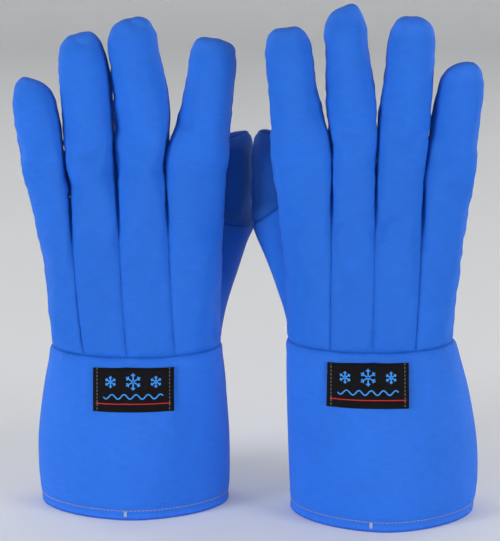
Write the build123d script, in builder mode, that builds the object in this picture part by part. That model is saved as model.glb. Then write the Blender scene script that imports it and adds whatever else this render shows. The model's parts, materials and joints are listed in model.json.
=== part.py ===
from build123d import *
from dataclasses import dataclass
from math import cos, radians, sin, tan
import os

# A pair of insulated cryogenic gloves, standing on their cuffs with the fingers up.
# Millimetres, +Z up. The origin is on the table, under the middle of the pair's
# bounding box. The backs of the hands face -Y and the palms face +Y. Each glove is sewn from an
# outer shell, a quilted insulation layer and a knitted liner, one inside the other.

# ---- Driving dimensions ----------------------------------------------------------

# The plane between the gloves, where the thumbs meet, and the middle of their depth
MIDLINE_X = 4.08
MIDLINE_Y = 1.42

# Fabric layers: how far each one's outer and inner face lie below the glove's surface.
LAYER_GAP = 0.3
SHELL = (0.0, 1.0)
INSULATION = (SHELL[1] + LAYER_GAP, 5.8)
LINER = (INSULATION[1] + LAYER_GAP, 7.1)
FACING = (LINER[1] + LAYER_GAP, 8.4)
FACING_HEIGHT = 22.0
FLOOR_GAP = FACING[1] - FACING[0] + LAYER_GAP

# Gauntlet cuff
BELLY_SHARE = 0.38  # height of the cuff's widest ring, as a share of the wrist height
WRIST_HALF_WIDTH = 63.5
WRIST_HALF_DEPTH = 35.0

# Hand, from the wrist seam up to the knuckles
PALM_RISE = 90.0
PALM_HALF_WIDTH = 69.5
PALM_HALF_DEPTH = 25.0
KNUCKLE_RISE = 140.0
KNUCKLE_HALF_WIDTH = 74.5
KNUCKLE_HALF_DEPTH = 19.0
CORNER_SHARE = 0.92  # corner radius of the hand's section, as a share of its half depth

# Where the back's three seams start at the wrist, from its centre to the thumb
WRIST_SEAMS = (31.5, -2.0, -33.5)

# Hinge travel in degrees, and the clearance left for it in the cut between two pieces
FINGER_FLEX, FINGER_EXTEND = 55.0, 10.0
THUMB_FLEX, THUMB_EXTEND = 30.0, 10.0
WRIST_FLEX, WRIST_EXTEND = 25.0, 20.0
SPARE_ANGLE = 1.5
AXIS_GAP = 1.0
GLOVE_TRAVEL = 120.0  # how far the right glove slides away from the left one

# Thumb, on the palm side, next to the other glove's thumb
THUMB_ASIDE = 15.5  # from the midline plane
THUMB_FORWARD = 46.0  # from the middle of the hand towards the palm
THUMB_RISE = 78.0  # hinge above the wrist seam
GUSSET_INSET = 26.0  # the gusset's foot, from the wrist's edge
GUSSET_FORWARD = 8.0
GUSSET_RISE = 6.0

# Woven label and stitching
LABEL_WIDTH, LABEL_HEIGHT, LABEL_THICK = 58.0, 31.0, 0.8
LABEL_DROP = 25.5  # label centre below the wrist seam
SURFACE_GAP = 0.2
THREAD = 0.6
HEM_STITCH_Z = 8.0
HEM_STITCHES = 88
STITCH_SHARE = 0.7  # stitch length as a share of its pitch
LABEL_STITCH_INSET = 2.6
LABEL_STITCH_PITCH = 3.1


@dataclass
class Digit:
    """One finger or thumb: a straight padded tube that starts at its hinge."""

    name: str
    half_width: float
    half_depth: float
    length: float
    rise: float  # hinge above the wrist seam
    offset: float  # hinge from the knuckles' centre, towards the thumb
    lean: float  # degrees from upright, towards the thumb


@dataclass
class Glove:
    """One glove's own sizes: hand-sewn gloves of a pair differ by a few millimetres.

    Shifts and offsets are towards the thumb."""

    name: str
    side: int  # +1 when the thumb is on the +X side
    aside: float  # centre of the cuff's mouth, from the midline plane
    forward: float  # centre of the cuff's mouth, from the middle of the depth
    wrist_z: float
    hem_half_width: float
    hem_half_depth: float
    belly_half_width: float
    belly_shift: float  # this and the next three are from the centre of the cuff
    wrist_shift: float
    knuckle_shift: float
    label_shift: float
    knuckle_seams: tuple  # the back's three seams, from the knuckles' centre
    finger_offsets: tuple  # index, middle, ring, little
    finger_leans: tuple

    @property
    def centre_y(self):
        return MIDLINE_Y + self.forward

    def point(self, shift, forward, z):
        """A place given towards the thumb and towards the palm from the cuff's centre."""
        return (MIDLINE_X + self.side * (shift - self.aside), self.centre_y + forward, z)

    def digits(self):
        """The four fingers, from the thumb's side outwards."""
        return [
            Digit(*sizes, offset, lean)
            for sizes, offset, lean in zip(FINGERS, self.finger_offsets, self.finger_leans)
        ]

    def thumb(self):
        """The thumb stands upright in front of the palm."""
        offset = self.aside - THUMB_ASIDE - self.knuckle_shift
        return Digit("thumb", 14.3, 13.5, 71.0, THUMB_RISE, offset, 0.0)


# Each finger's name, half width, half depth, length, and hinge above the wrist seam
FINGERS = (
    ("index", 19.0, 15.5, 89.5, 138.0),
    ("middle", 17.3, 15.5, 103.5, 139.0),
    ("ring", 16.2, 15.0, 94.0, 138.0),
    ("little", 16.2, 14.0, 72.5, 127.0),
)

GLOVES = (
    Glove(
        name="left",
        side=+1,
        aside=89.0,
        forward=8.0,
        wrist_z=122.0,
        hem_half_width=71.0,
        hem_half_depth=52.0,
        belly_half_width=72.3,
        belly_shift=-2.4,
        wrist_shift=2.0,
        knuckle_shift=-5.3,
        label_shift=1.5,
        knuckle_seams=(29.9, -5.0, -40.7),
        finger_offsets=(54.5, 14.0, -21.5, -57.5),
        finger_leans=(7.0, -4.0, -6.0, -7.5),
    ),
    Glove(
        name="right",
        side=-1,
        aside=95.5,
        forward=-12.0,
        wrist_z=131.0,
        hem_half_width=69.0,
        hem_half_depth=58.0,
        belly_half_width=70.6,
        belly_shift=0.2,
        wrist_shift=9.2,
        knuckle_shift=8.4,
        label_shift=13.5,
        knuckle_seams=(31.0, -0.5, -35.1),
        finger_offsets=(53.0, 15.0, -17.8, -54.0),
        finger_leans=(8.0, 5.0, -5.0, -6.5),
    ),
)


# ---- Planes and hinges -----------------------------------------------------------


def hinge_plane(glove, digit):
    """Plane across a digit's hinge: x to the palm, y up the digit, normal on the axis."""
    forward = THUMB_FORWARD if digit.name == "thumb" else 0.0
    origin = glove.point(glove.knuckle_shift + digit.offset, forward, glove.wrist_z + digit.rise)
    lean = radians(digit.lean) * glove.side
    return Plane(origin=origin, x_dir=(0, 1, 0), z_dir=(cos(lean), 0, -sin(lean)))


def wrist_plane(glove):
    """Plane across the wrist hinge, laid out like a digit's."""
    origin = glove.point(glove.wrist_shift, 0, glove.wrist_z)
    return Plane(origin=origin, x_dir=(0, 1, 0), z_dir=(1, 0, 0))


def notch(plane, flex, extend, half_span, reach, above):
    """The V-shaped room that a hinge needs, to cut from the piece below or above it.

    It opens by half of each limit on each side of the axis. With above set it holds
    everything beyond the hinge, and otherwise everything before it."""
    way = 1 if above else -1
    palm_drop = AXIS_GAP + reach * tan(radians(flex / 2 + SPARE_ANGLE))
    back_drop = AXIS_GAP + reach * tan(radians(extend / 2 + SPARE_ANGLE))
    outline = [
        (0, -way * AXIS_GAP),
        (reach, -way * palm_drop),
        (reach, way * reach),
        (-reach, way * reach),
        (-reach, -way * back_drop),
    ]
    with BuildPart() as room:
        with BuildSketch(plane):
            Polygon(*outline, align=None)
        extrude(amount=half_span, both=True)
    return room.part


def wrist_notch(glove, above):
    return notch(wrist_plane(glove), WRIST_FLEX, WRIST_EXTEND, 110, 70, above)


def thumb_notch(glove, above):
    return notch(hinge_plane(glove, glove.thumb()), THUMB_FLEX, THUMB_EXTEND, 18, 17, above)


def finger_notches(glove):
    """Room above the knuckles for the four fingers, each as wide as its own strip."""
    edges = (KNUCKLE_HALF_WIDTH, *glove.knuckle_seams, -KNUCKLE_HALF_WIDTH)
    overlap = 2.5
    rooms = []
    for digit, high, low in zip(glove.digits(), edges, edges[1:]):
        half_span = (high - low) / 2 + overlap
        rooms.append(
            notch(hinge_plane(glove, digit), FINGER_FLEX, FINGER_EXTEND, half_span, 28, True)
        )
    return rooms


# ---- Solid forms, each at a depth below the glove's outer surface ------------------


def cuff_form(glove, inset):
    """The gauntlet: round at the hem, widest a third of the way up, oval at the wrist."""
    rings = (
        (0.0, 0.0, glove.hem_half_width, glove.hem_half_depth),
        (BELLY_SHARE, glove.belly_shift, glove.belly_half_width, glove.hem_half_depth - 2),
        (1.0, glove.wrist_shift, WRIST_HALF_WIDTH, WRIST_HALF_DEPTH),
    )
    with BuildPart() as form:
        for share, shift, half_width, half_depth in rings:
            with BuildSketch(Plane(origin=glove.point(shift, 0, share * glove.wrist_z))):
                Ellipse(half_width - inset, half_depth - inset)
        loft()
    return form.part


def hand_form(glove, inset):
    """The hand between wrist and knuckles: a flat oval that widens and thins upwards."""
    share = PALM_RISE / KNUCKLE_RISE
    palm_shift = glove.wrist_shift + share * (glove.knuckle_shift - glove.wrist_shift)
    rings = (
        (0.0, glove.wrist_shift, WRIST_HALF_WIDTH, WRIST_HALF_DEPTH),
        (PALM_RISE, palm_shift, PALM_HALF_WIDTH, PALM_HALF_DEPTH),
        (KNUCKLE_RISE, glove.knuckle_shift, KNUCKLE_HALF_WIDTH, KNUCKLE_HALF_DEPTH),
    )
    with BuildPart() as form:
        for rise, shift, half_width, half_depth in rings:
            across, deep = half_width - inset, half_depth - inset
            with BuildSketch(Plane(origin=glove.point(shift, 0, glove.wrist_z + rise))):
                RectangleRounded(2 * across, 2 * deep, CORNER_SHARE * deep)
        loft()
    return form.part


def gusset_form(glove, inset):
    """The cone that carries the palm out to the thumb's root."""
    thumb = glove.thumb()
    foot = glove.point(
        glove.wrist_shift + WRIST_HALF_WIDTH - GUSSET_INSET,
        GUSSET_FORWARD,
        glove.wrist_z + GUSSET_RISE,
    )
    with BuildPart() as form:
        with BuildSketch(Plane(origin=foot)):
            Ellipse(22 - inset, 20 - inset)
        with BuildSketch(Plane(origin=hinge_plane(glove, thumb).origin)):
            Ellipse(thumb.half_width - inset, thumb.half_depth - inset)
        loft(ruled=True)
    return form.part


def palm_form(glove, inset):
    """The hand together with the thumb's gusset."""
    with BuildPart() as form:
        add(hand_form(glove, inset))
        add(gusset_form(glove, inset))
    return form.part


def digit_form(glove, digit, inset):
    """A padded tube that swells a little above its root and closes in a blunt tip."""
    profile = ((0.0, 0.92), (0.35, 1.05), (0.7, 1.0), (0.9, 0.84), (1.0, 0.45))
    hinge = hinge_plane(glove, digit)
    up = hinge.y_dir
    with BuildPart() as form:
        for share, size in profile:
            centre = hinge.origin + up * (share * (digit.length - inset))
            with BuildSketch(Plane(origin=centre, x_dir=hinge.z_dir, z_dir=up)):
                Ellipse(size * (digit.half_width - inset), size * (digit.half_depth - inset))
        loft(ruled=True)
    return form.part


# ---- Pieces ------------------------------------------------------------------------


def save(piece, glove, name):
    piece.part.label = f"{glove.name}_{name}"
    export_step(piece.part, f"parts/{glove.name}_{name}.step")


def make_cuff(glove):
    """The gauntlet's three layers and the facing that closes them at the hem."""
    top_room = wrist_notch(glove, above=True)
    with BuildPart() as shell:
        add(cuff_form(glove, SHELL[0]))
        add(cuff_form(glove, SHELL[1]), mode=Mode.SUBTRACT)
        add(top_room, mode=Mode.SUBTRACT)
    save(shell, glove, "cuff_shell")

    for name, (outer, inner) in {"cuff_insulation": INSULATION, "cuff_lining": LINER}.items():
        with BuildPart() as layer:
            add(cuff_form(glove, outer))
            add(cuff_form(glove, inner), mode=Mode.SUBTRACT)
            add(top_room, mode=Mode.SUBTRACT)
            with BuildSketch(Plane.XY):
                Rectangle(600, 400)
            extrude(amount=FLOOR_GAP, mode=Mode.SUBTRACT)
        save(layer, glove, name)

    with BuildPart() as wall:
        add(cuff_form(glove, FACING[0]))
        add(cuff_form(glove, FACING[1]), mode=Mode.SUBTRACT)
        with BuildSketch(Plane.XY):
            Rectangle(600, 400)
        extrude(amount=FACING_HEIGHT, mode=Mode.INTERSECT)
    with BuildPart() as facing:
        add(cuff_form(glove, SHELL[1] + LAYER_GAP))
        add(cuff_form(glove, FACING[1]), mode=Mode.SUBTRACT)
        with BuildSketch(Plane.XY):
            Rectangle(600, 400)
        extrude(amount=FACING[1] - FACING[0], mode=Mode.INTERSECT)
        add(wall.part)
    save(facing, glove, "hem_facing")


def surface_band(glove, lift, thick):
    """A thin skin that stands off the cuff's outer surface by lift."""
    with BuildPart() as band:
        add(cuff_form(glove, -lift - thick))
        add(cuff_form(glove, -lift), mode=Mode.SUBTRACT)
    return band.part


def label_plane(glove):
    """Upright plane through the cuff's centre, in the middle of the label, facing -Y."""
    origin = glove.point(glove.label_shift, 0, glove.wrist_z - LABEL_DROP)
    return Plane(origin=origin, x_dir=(1, 0, 0), z_dir=(0, -1, 0))


def make_label(glove):
    """The woven label, curved round the back of the cuff, and its two rows of stitches."""
    with BuildPart() as label:
        add(surface_band(glove, SURFACE_GAP, LABEL_THICK))
        with BuildSketch(label_plane(glove)):
            Rectangle(LABEL_WIDTH, LABEL_HEIGHT)
        extrude(amount=100, mode=Mode.INTERSECT)
    save(label, glove, "label")

    rows = LABEL_WIDTH - 2 * LABEL_STITCH_INSET
    count = int(LABEL_HEIGHT / LABEL_STITCH_PITCH)
    with BuildPart() as stitches:
        add(surface_band(glove, 2 * SURFACE_GAP + LABEL_THICK, THREAD))
        with BuildSketch(label_plane(glove)):
            with GridLocations(rows, LABEL_STITCH_PITCH, 2, count):
                Rectangle(THREAD, STITCH_SHARE * LABEL_STITCH_PITCH)
        extrude(amount=100, mode=Mode.INTERSECT)
    save(stitches, glove, "label_stitching")


def make_hem_stitching(glove):
    """One row of topstitches round the outside of the hem."""
    gap_width = 360 / HEM_STITCHES * (1 - STITCH_SHARE)
    centre = glove.point(0, 0, HEM_STITCH_Z)
    reach = 2 * glove.hem_half_width
    with BuildPart() as row:
        add(surface_band(glove, SURFACE_GAP, THREAD))
        with BuildSketch(Plane(origin=centre)):
            Rectangle(600, 400)
        extrude(amount=THREAD, mode=Mode.INTERSECT)
        with BuildSketch(Plane(origin=centre)):
            with PolarLocations(0, HEM_STITCHES):
                half = reach * tan(radians(gap_width / 2))
                Polygon((0, 0), (reach, -half), (reach, half), align=None)
        extrude(amount=THREAD, mode=Mode.SUBTRACT)
    save(row, glove, "hem_stitching")


def strip(glove, index):
    """Upright prism behind one back panel, between its two seams."""
    edges_low = (WRIST_HALF_WIDTH + 30, *WRIST_SEAMS, -WRIST_HALF_WIDTH - 30)
    edges_high = (KNUCKLE_HALF_WIDTH + 30, *glove.knuckle_seams, -KNUCKLE_HALF_WIDTH - 30)
    half_gap = LAYER_GAP / 2
    low = [glove.wrist_shift + e for e in (edges_low[index] - half_gap, edges_low[index + 1] + half_gap)]
    high = [glove.knuckle_shift + e for e in (edges_high[index] - half_gap, edges_high[index + 1] + half_gap)]
    corners = [
        (low[0], glove.wrist_z),
        (low[1], glove.wrist_z),
        (high[1], glove.wrist_z + KNUCKLE_RISE),
        (high[0], glove.wrist_z + KNUCKLE_RISE),
    ]
    outline = [(glove.point(shift, 0, z)[0], z) for shift, z in corners]
    with BuildPart() as prism:
        with BuildSketch(Plane.XZ.offset(-(glove.centre_y - half_gap))):
            Polygon(*outline, align=None)
        extrude(amount=100)
    return prism.part


def make_hand(glove):
    """The hand's shell panels, then the insulation and liner inside them."""
    rooms = [wrist_notch(glove, above=False), thumb_notch(glove, above=True), *finger_notches(glove)]
    for index, digit in enumerate(glove.digits()):
        with BuildPart() as panel:
            add(hand_form(glove, SHELL[0]))
            add(hand_form(glove, SHELL[1]), mode=Mode.SUBTRACT)
            add(strip(glove, index), mode=Mode.INTERSECT)
            add(rooms, mode=Mode.SUBTRACT)
        save(panel, glove, f"back_panel_{digit.name}")

    with BuildPart() as palm:
        add(hand_form(glove, SHELL[0]))
        add(hand_form(glove, SHELL[1]), mode=Mode.SUBTRACT)
        with BuildSketch(Plane.XZ.offset(-(glove.centre_y + LAYER_GAP / 2))):
            Rectangle(600, 800)
        extrude(amount=100, mode=Mode.SUBTRACT)
        add(gusset_form(glove, -LAYER_GAP), mode=Mode.SUBTRACT)
        add(rooms, mode=Mode.SUBTRACT)
    save(palm, glove, "palm_panel")

    with BuildPart() as gusset:
        add(gusset_form(glove, SHELL[0]))
        add(gusset_form(glove, SHELL[1]), mode=Mode.SUBTRACT)
        add(hand_form(glove, -LAYER_GAP), mode=Mode.SUBTRACT)
        add(rooms, mode=Mode.SUBTRACT)
    save(gusset, glove, "thumb_gusset")

    for name, (outer, inner) in {"hand_insulation": INSULATION, "hand_liner": LINER}.items():
        with BuildPart() as layer:
            add(palm_form(glove, outer))
            add(palm_form(glove, inner), mode=Mode.SUBTRACT)
            add(rooms, mode=Mode.SUBTRACT)
        save(layer, glove, name)


def make_digit(glove, digit, flex, extend):
    """A digit's shell, insulation and liner, cut back at the root for its hinge."""
    room = notch(hinge_plane(glove, digit), flex, extend, 40, 40, above=False)
    for name, (outer, inner) in {"shell": SHELL, "insulation": INSULATION, "liner": LINER}.items():
        with BuildPart() as layer:
            add(digit_form(glove, digit, outer))
            add(digit_form(glove, digit, inner), mode=Mode.SUBTRACT)
            add(room, mode=Mode.SUBTRACT)
        save(layer, glove, f"{digit.name}_{name}")


def make_glove(glove):
    make_cuff(glove)
    make_label(glove)
    make_hem_stitching(glove)
    make_hand(glove)
    for digit in glove.digits():
        make_digit(glove, digit, FINGER_FLEX, FINGER_EXTEND)
    make_digit(glove, glove.thumb(), THUMB_FLEX, THUMB_EXTEND)


if __name__ == "__main__":
    os.makedirs("parts", exist_ok=True)
    for one in GLOVES:
        make_glove(one)
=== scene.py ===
"""The looks of a pair of cryogenic gloves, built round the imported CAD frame.

Every outer panel is first laid out as a grid of points. The panels are welded into one cloth,
which a short cloth simulation inflates, and are then cut apart again along their seams, so that
each is its own piece of fabric with a real thickness. The padding and the liner inside are
offsets of the same cloth. Lengths in the scene are in metres. A size that is given in
millimetres says so, and MM turns it into metres.
"""

import json
import math

import bmesh
import bpy
import numpy as np
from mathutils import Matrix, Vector, noise
from mathutils.bvhtree import BVHTree
from mathutils.kdtree import KDTree


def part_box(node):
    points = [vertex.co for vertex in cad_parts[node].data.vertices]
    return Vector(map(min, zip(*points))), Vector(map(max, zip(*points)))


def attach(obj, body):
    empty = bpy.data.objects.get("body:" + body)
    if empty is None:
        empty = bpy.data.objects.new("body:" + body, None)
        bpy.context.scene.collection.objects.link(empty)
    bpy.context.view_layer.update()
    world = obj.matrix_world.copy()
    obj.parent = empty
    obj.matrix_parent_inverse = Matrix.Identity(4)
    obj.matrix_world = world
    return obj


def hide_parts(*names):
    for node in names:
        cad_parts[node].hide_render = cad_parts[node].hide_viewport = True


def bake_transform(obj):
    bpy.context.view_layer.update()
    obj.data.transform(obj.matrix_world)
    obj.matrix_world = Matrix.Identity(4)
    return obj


MM = 0.001
FINGERS = ("index", "middle", "ring", "little")

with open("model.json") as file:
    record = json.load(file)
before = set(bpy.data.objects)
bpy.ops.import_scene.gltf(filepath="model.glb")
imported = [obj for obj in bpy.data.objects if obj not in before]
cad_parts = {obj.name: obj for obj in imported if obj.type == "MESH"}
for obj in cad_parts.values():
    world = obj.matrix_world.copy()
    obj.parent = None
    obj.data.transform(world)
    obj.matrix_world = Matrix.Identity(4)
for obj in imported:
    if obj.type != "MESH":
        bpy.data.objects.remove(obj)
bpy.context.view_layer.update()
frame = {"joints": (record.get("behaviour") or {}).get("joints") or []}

# ---- Sizes ----

# Cloth grid
STRIP_COLUMNS = 10  # across one finger's strip, on each side of the hand
HAND_ROWS = 36
FINGER_ROWS = 28
CUFF_ROWS = 32
THUMB_COLUMNS = 28
GUSSET_ROWS = 22
THUMB_ROWS = 22

# Hand, in mm: half depths at the wrist, over the palm and at the fingers' roots
WRIST_HALF_WIDTH = 63.5
WRIST_EDGES = {"left": (63.2, -62.8), "right": (61.6, -60.0)}
BELLY_TRIM = {"left": (-1.0, 1.0), "right": (-1.2, -1.2)}  # half width, shift towards the thumb
HAND_DEPTH_HEIGHTS = (0, 90, 134)
HAND_HALF_DEPTHS = (35.0, 25.0, 18.0)
WRIST_SEAMS = {"left": (30.5, -4.8, -36.5), "right": (31.0, 0.8, -30.2)}
SEAM_CURVE = {"left": 0.65, "right": 0.9}  # below 1, the back's seams curve in early
HAND_OVAL = 2.7  # above 2, the hand's section is squarer than an ellipse
EDGE_FLARE = 1.5  # how late the hand's edges start to widen
SEAM_SAG = 3.5
BACK_VALLEYS, PALM_VALLEYS = 4.5, 14  # how late the valleys between the fingers begin

# Fingers, in mm
FINGER_HALF_DEPTH = {"index": 15.5, "middle": 15.5, "ring": 15.0, "little": 14.0}
FINGER_OVAL = 2.2
FINGER_GAP = 0.15  # half the room left between two fingers that press together
FINGER_LAP = 0.22  # how much the plane between them slants, towards the thumb on the palm's side
FINGER_STATIONS = (0.0, 40.0, 76.0)  # heights above the hinge at which the widths are given
TIP_REACH = 22.0
# Per finger: half widths at the stations, shifts towards the thumb there, extra length, how much
# higher the tip's thumb side is than its other side, and how square the tip is
FINGER_SHAPES = {
    "left": {
        "index": ((23.0, 20.2, 18.2), (-2.0, 1.0, 1.2), 0.0, -1.5, 2.9),
        "middle": ((19.0, 21.6, 19.6), (-1.5, 1.3, -1.2), -0.2, 2.5, 2.0),
        "ring": ((18.8, 20.5, 18.2), (-2.8, -0.9, -1.0), -0.7, 1.5, 2.0),
        "little": ((16.8, 17.5, 15.4), (0.0, -0.7, -1.0), -1.0, -4.5, 1.9),
    },
    "right": {
        "index": ((21.8, 19.5, 18.2), (-0.5, 0.0, -1.0), 1.3, 0.0, 2.2),
        "middle": ((17.4, 18.8, 17.0), (0.2, -0.5, -0.5), 1.0, -4.5, 2.0),
        "ring": ((18.4, 19.4, 18.2), (-1.0, -1.3, -0.8), 4.3, 0.0, 2.0),
        "little": ((18.6, 18.0, 16.4), (-0.4, -0.7, -1.1), 3.9, -3.0, 2.0),
    },
}
TIP_FLAT = 0.2  # share of the width left where the two sides meet at the tip
ROOT_BLEND = 24.0  # from the hand's depth to the finger's
ROOT_WIDENING = 9.0  # from the hand's width to the finger's
ROOT_PRESS = 1.0  # extra half width just above the crotches, so that the fingers touch there

# Where the fingers part, in mm towards the thumb and up from the wrist joint
CROTCHES = {
    "left": ((22.4, 132.6), (-13.3, 132.6), (-48.0, 120.0)),
    "right": ((30.2, 134.0), (-1.3, 134.0), (-35.9, 125.5)),
}
OUTER_ROOTS = (129.0, 117.0)  # height of the strips' outer root corners: index, little

# Every digit's end
TIP_EASE = 1.35  # above 1, a digit's rows lie closer together towards its tip
CAP_OVAL = 2.2  # how round a digit's end is, seen from the side

# Thumb and gusset, in mm
GUSSET_FOOT = (37.5, 6.0, 4.0)
GUSSET_FOOT_RADII = (25.0, 24.0)
GUSSET_TOP = (17.0, -4.0)  # half depth and shift towards the palm at the seam with the thumb
THUMB_RADII = (16.7, 14.0)
THUMB_EXTRA = {"left": 1.5, "right": -4.0}
THUMB_TIP_REACH = 17.0
THUMB_SQUARENESS = 2.6
THUMB_TIP_FLAT = 0.5
THUMB_TWIST = math.radians(25)  # the seam on the fingers' side comes round to the back of the hand
THUMB_NOD = math.radians(28)  # the seam over the tip leans towards the back of the hand
THUMB_SLANT = 0.28  # how much higher the tip is on the side away from the fingers
THUMB_LEAN = 0.08  # how much the thumb leans towards the palm's side
THUMB_SEAM = {"left": (5.5, 2.5), "right": (12.0, 13.0)}  # raised as a whole, and at the fingers' side

# Cuff, in mm
CUFF_BELLY_SHARE = 0.38
HEM_OVAL = 1.75  # 2 is an ellipse; the open hem lies a little flatter than that
HEM_ROLL = 1.6
HEM_STITCH_HEIGHT = 7.5
FACING_INSET = 7.2
FACING_HEIGHT = 22.0

# Fabric layers, in mm below the outer surface
SHELL_THICKNESS = 0.9
# Each inner layer's two depths, its material, and its nodes' last word on a digit and on the cuff
LAYERS = {
    "padding": (1.2, 5.2, "quilted_insulation", "insulation", "insulation"),
    "liner": (5.5, 6.5, "knitted_liner", "liner", "lining"),
}

# Cloth simulation
SIM_FRAMES = 20
SIM_CAP = 5.0 * MM  # the farthest that the simulation may move a point
SIM_SETTINGS = {
    "quality": 6,
    "mass": 0.15,
    "tension_stiffness": 20,
    "compression_stiffness": 20,
    "shear_stiffness": 8,
    "bending_stiffness": 0.15,
    "use_pressure": True,
    "uniform_pressure_force": 1.3,
    "vertex_group_mass": "pin",
    "pin_stiffness": 1.0,
    "vertex_group_shrink": "gather",
    "shrink_min": -0.008,
    "shrink_max": 0.025,
}

# How far above and below a hinge the fabric would bend. Only these spans' ends are worked out, and nothing
# bends.
KNUCKLE_BEND = (-3.0 * MM, 30.0 * MM)
THUMB_BEND = (-2.0 * MM, 24.0 * MM)
WRIST_BEND = (-33.0 * MM, -1.0 * MM)


def smoothstep(x):
    t = np.clip(x, 0.0, 1.0)
    return t * t * (3 - 2 * t)


def mix(a, b, t):
    return a + (b - a) * t


def through(share, at_hem, at_belly, at_wrist):
    """The parabola through three values, at the hem, at the cuff's belly and at the wrist."""
    b = CUFF_BELLY_SHARE
    return (
        at_hem * (share - b) * (share - 1) / b
        + at_belly * share * (share - 1) / (b * (b - 1))
        + at_wrist * share * (share - b) / (1 - b)
    )


# ---- One glove's places ----


class Glove:
    """A glove's places, in its axes: a towards the thumb, f towards the palm, h up from the wrist."""

    def __init__(self, name):
        self.name = name
        joints = {j["name"]: j for j in frame["joints"]}
        self.wrist = Vector(joints[f"{name}_wrist"]["pos_m"])
        thumb = joints[f"{name}_thumb_root"]
        self.side = 1 if thumb["pos_m"][0] > self.wrist.x else -1
        thumb_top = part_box(f"{name}_thumb_shell")[1].z + THUMB_EXTRA[name] * MM
        self.roots = {"thumb": self.local(thumb["pos_m"])}
        self.ups = {"thumb": np.array((0.0, 1.0))}
        self.lengths = {"thumb": thumb_top - thumb["pos_m"][2]}
        for finger in FINGERS:
            joint = joints[f"{name}_{finger}_knuckle"]
            axis = joint["axis"]
            up = Vector((axis[2], 0.0, -axis[0]))
            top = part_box(f"{name}_{finger}_shell")[1].z
            self.roots[finger] = self.local(joint["pos_m"])
            self.ups[finger] = np.array((self.side * up.x, up.z))
            self.lengths[finger] = (top - joint["pos_m"][2]) / up.z
        corners = [self.local(c) for n in ("index", "little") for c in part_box(f"{name}_back_panel_{n}")]
        self.knuckle_edges = (max(c[0] for c in corners), min(c[0] for c in corners))
        low, high = (self.local(c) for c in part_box(f"{name}_hem_facing"))
        self.hem_centre = (low[0] + high[0]) / 2
        self.hem_half = (abs(high[0] - low[0]) / 2 + 1.3 * MM, (high[1] - low[1]) / 2 + 1.3 * MM)
        low, high = (self.local(c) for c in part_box(f"{name}_cuff_shell"))
        trim, shift = BELLY_TRIM[name]
        self.belly_centre = (low[0] + high[0]) / 2 + shift * MM
        self.belly_half = (abs(high[0] - low[0]) / 2 + trim * MM, self.hem_half[1] - 2 * MM)

    def local(self, point):
        x, y, z = point
        return np.array((self.side * (x - self.wrist.x), y - self.wrist.y, z - self.wrist.z))

    def world(self, a, f, h):
        a, f, h = np.broadcast_arrays(a, f, h)
        x = self.wrist.x + self.side * a
        return np.stack((x, self.wrist.y + f, self.wrist.z + h), axis=-1)

    def tip_height(self, digit):
        return self.world(*self.roots[digit])[2] + self.lengths[digit] * self.ups[digit][1]

    def seam_sag(self, a):
        """How far the wrist seam hangs below the joint's height, across the hand."""
        return SEAM_SAG * MM * np.clip(1 - (a / (WRIST_HALF_WIDTH * MM)) ** 2, 0, 1)

    def seam_line(self, number, t):
        """Place (a, h) on a strip's edge, from the wrist (t 0) to the fingers' roots (t 1)."""
        if number in (0, 4):
            side = number // 4
            start, end = WRIST_EDGES[self.name][side] * MM, self.knuckle_edges[side]
            return mix(start, end, t**EDGE_FLARE), t * OUTER_ROOTS[side] * MM
        a, h = CROTCHES[self.name][number - 1]
        return mix(WRIST_SEAMS[self.name][number - 1], a, t ** SEAM_CURVE[self.name]) * MM, t * h * MM


# ---- Panels as grids of points ----


def column_shares(strip):
    """Column places across a strip: even or packed to the hand's edge, and round as on a finger."""
    k = np.arange(STRIP_COLUMNS + 1) / STRIP_COLUMNS
    finger = (1 - np.cos(math.pi * k)) / 2
    if strip == 0:
        return 1 - np.cos(math.pi / 2 * k), finger
    if strip == 3:
        return np.sin(math.pi / 2 * k), finger
    return k, finger


def hand_row(glove, strip, t, facing):
    """One row of a strip over the hand. facing is -1 on the back and +1 on the palm."""
    a0, h0 = glove.seam_line(strip, t)
    a1, h1 = glove.seam_line(strip + 1, t)
    even, round_ = column_shares(strip)
    c = mix(even, round_, smoothstep((t - 0.45) / 0.55))
    a, h = mix(a0, a1, c), mix(h0, h1, c)
    high, low = glove.seam_line(0, t)[0], glove.seam_line(4, t)[0]
    across = np.clip((a - (high + low) / 2) / ((high - low) / 2), -1, 1)
    oval = (1 - np.abs(across) ** HAND_OVAL) ** (1 / HAND_OVAL)
    depth = np.interp(h / MM, HAND_DEPTH_HEIGHTS, HAND_HALF_DEPTHS) * MM
    dip = 0.03 + 0.97 * t**BACK_VALLEYS if facing < 0 else t**PALM_VALLEYS
    h = h - glove.seam_sag(a) * (1 - t) ** 3
    power = mix(6.0, 2.0, t)
    valley = np.zeros_like(c)
    for shared, inside in ((strip > 0, c), (strip < 3, 1 - c)):
        if shared:
            valley += 1 - np.sqrt(1 - (1 - np.clip(2 * inside, 0, 1)) ** power)
    return a, facing * depth * oval * (1 - dip * valley), h


def finger_width(glove, finger, s):
    """Half width of a finger below its tip, and its shift, at a distance from its hinge."""
    widths, shifts = FINGER_SHAPES[glove.name][finger][:2]
    heights = np.array(FINGER_STATIONS) * MM
    fits = [np.polyfit(heights, values, 2) for values in (widths, shifts)]
    return [np.polyval(fit, np.clip(s, heights[0], heights[-1])) * MM for fit in fits]


def finger_edge(glove, finger, sign, s):
    """Place (a, h) on a finger's edge, on its thumb side for sign 1."""
    hinge, up = glove.roots[finger], glove.ups[finger]
    width, shift = finger_width(glove, finger, s)
    aside = shift + sign * width
    return hinge[0] + up[0] * s + up[1] * aside, hinge[2] + up[1] * s - up[0] * aside


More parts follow.
